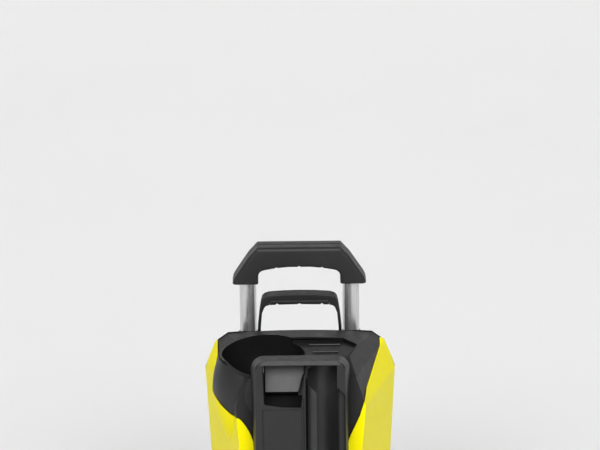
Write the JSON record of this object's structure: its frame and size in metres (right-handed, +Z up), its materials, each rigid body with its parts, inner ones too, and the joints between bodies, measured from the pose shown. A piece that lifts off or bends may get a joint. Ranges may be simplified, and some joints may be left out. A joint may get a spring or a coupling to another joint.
{
  "type": "pressure washer",
  "caption": "Upright electric pressure washer on two wheels, with a telescopic pull handle, carrying handle, detergent bottle well and holders for the gun and lance.",
  "frame": {"origin": "on the floor, under the middle of the overall box", "axes": "+Z up, +Y towards the back of the machine, and +X to the right as seen from the front, which is the lance holder side"},
  "size_m": [0.3152, 0.411, 0.58],
  "materials": {
    "yellow_shell": "satin moulded",
    "black_housing": "fine-grained moulded",
    "pocket_grey": "spark-textured",
    "grip_black": "soft satin",
    "tube_metal": "brushed",
    "inner_plastic": "plain moulded",
    "feet_rubber": "matte",
    "tyre_tread": "matte",
    "hub_plastic": "moulded",
    "steel": "bright",
    "motor_iron": "plain",
    "cast_aluminium": "cast",
    "fitting_brass": "plain",
    "fitting_black": "satin",
    "control_yellow": "satin"
  },
  "bodies": {
    "frame": {"axle_pin_left": "steel", "axle_pin_right": "steel", "base_tray": "black_housing", "bottle_well": "black_housing", "cable_gland": "pocket_grey", "cable_hook_lower": "pocket_grey", "capacitor_box": "inner_plastic", "carry_grip": "grip_black", "carry_handle": "black_housing", "detergent_hose": "feet_rubber", "front_column": "black_housing", "front_feet": "feet_rubber", "gun_pocket_liner": "pocket_grey", "high_pressure_pipe": "steel", "housing_screws": "steel", "inlet_filter": "fitting_brass", "lance_holder": "black_housing", "left_side_shell": "yellow_shell", "motor_can": "cast_aluminium", "motor_end_cap": "cast_aluminium", "outlet_connector": "fitting_black", "piston_block": "cast_aluminium", "piston_springs": "steel", "power_switch": "inner_plastic", "pump_head": "cast_aluminium", "pump_housing": "inner_plastic", "pump_mounts": "feet_rubber", "pump_screws": "steel", "rear_housing": "black_housing", "right_side_shell": "yellow_shell", "shaft_bearings": "steel", "stator": "motor_iron", "top_cover": "black_housing", "tube_collars": "pocket_grey", "tube_guides": "inner_plastic", "valve_seat": "inner_plastic", "water_inlet": "fitting_black"},
    "pull_handle": {"pull_grip_front": "grip_black", "pull_grip_back": "grip_black", "grip_screws": "steel", "pull_tube_left": "tube_metal", "pull_tube_right": "tube_metal", "tube_plugs": "inner_plastic"},
    "wheel_left": {"wheel_hub_left": "hub_plastic", "wheel_tyre_left": "tyre_tread", "wheel_cap_left": "hub_plastic"},
    "wheel_right": {"wheel_hub_right": "hub_plastic", "wheel_tyre_right": "tyre_tread", "wheel_cap_right": "hub_plastic"},
    "knob": {"power_knob": "control_yellow"},
    "hook": {"cable_hook_upper": "pocket_grey"},
    "clip": {"outlet_clip": "control_yellow"},
    "rotor": {"rotor_core": "motor_iron", "motor_shaft": "steel", "motor_fan": "inner_plastic", "swash_plate": "steel"},
    "piston_a": {"piston_1": "steel"},
    "piston_b": {"piston_2": "steel"},
    "piston_c": {"piston_3": "steel"},
    "valve": {"detergent_valve": "control_yellow"}
  },
  "joints": [
    {"name": "pull_handle_slide", "type": "slide", "parent": "frame", "child": "pull_handle", "axis": [0, 0, 1], "range_m": [0, 0.378]},
    {"name": "wheel_left_spin", "type": "hinge", "parent": "frame", "child": "wheel_left", "pos_m": [-0.133, 0.1235, 0.082], "axis": [1, 0, 0], "continuous": true},
    {"name": "wheel_right_spin", "type": "hinge", "parent": "frame", "child": "wheel_right", "pos_m": [0.133, 0.1235, 0.082], "axis": [1, 0, 0], "continuous": true},
    {"name": "power_knob_turn", "type": "hinge", "parent": "frame", "child": "knob", "pos_m": [-0.044, -0.15956, 0.128], "axis": [0, -0.8208, 0.5713], "range_deg": [0, 90]},
    {"name": "cable_hook_turn", "type": "hinge", "parent": "frame", "child": "hook", "pos_m": [0, 0.18, 0.33], "axis": [0, 1, 0], "range_deg": [0, 180]},
    {"name": "outlet_clip_slide", "type": "slide", "parent": "frame", "child": "clip", "axis": [0, 0, 1], "range_m": [0, 0.006], "stiffness_N_per_m": 300},
    {"name": "rotor_spin", "type": "hinge", "parent": "frame", "child": "rotor", "pos_m": [0.012, 0.062, 0.23], "axis": [0, 0, 1], "continuous": true},
    {"name": "detergent_valve_press", "type": "slide", "parent": "frame", "child": "valve", "axis": [0, 0, -1], "range_m": [0, 0.005], "stiffness_N_per_m": 500},
    {"name": "piston_a_stroke", "type": "slide", "parent": "frame", "child": "piston_a", "axis": [0, 0, 1], "range_m": [-0.005, 0], "stiffness_N_per_m": 2000, "springref_m": 0.002},
    {"name": "piston_b_stroke", "type": "slide", "parent": "frame", "child": "piston_b", "axis": [0, 0, 1], "range_m": [-0.005, 0], "stiffness_N_per_m": 2000, "springref_m": 0.002},
    {"name": "piston_c_stroke", "type": "slide", "parent": "frame", "child": "piston_c", "axis": [0, 0, 1], "range_m": [-0.005, 0], "stiffness_N_per_m": 2000, "springref_m": 0.002}
  ]
}
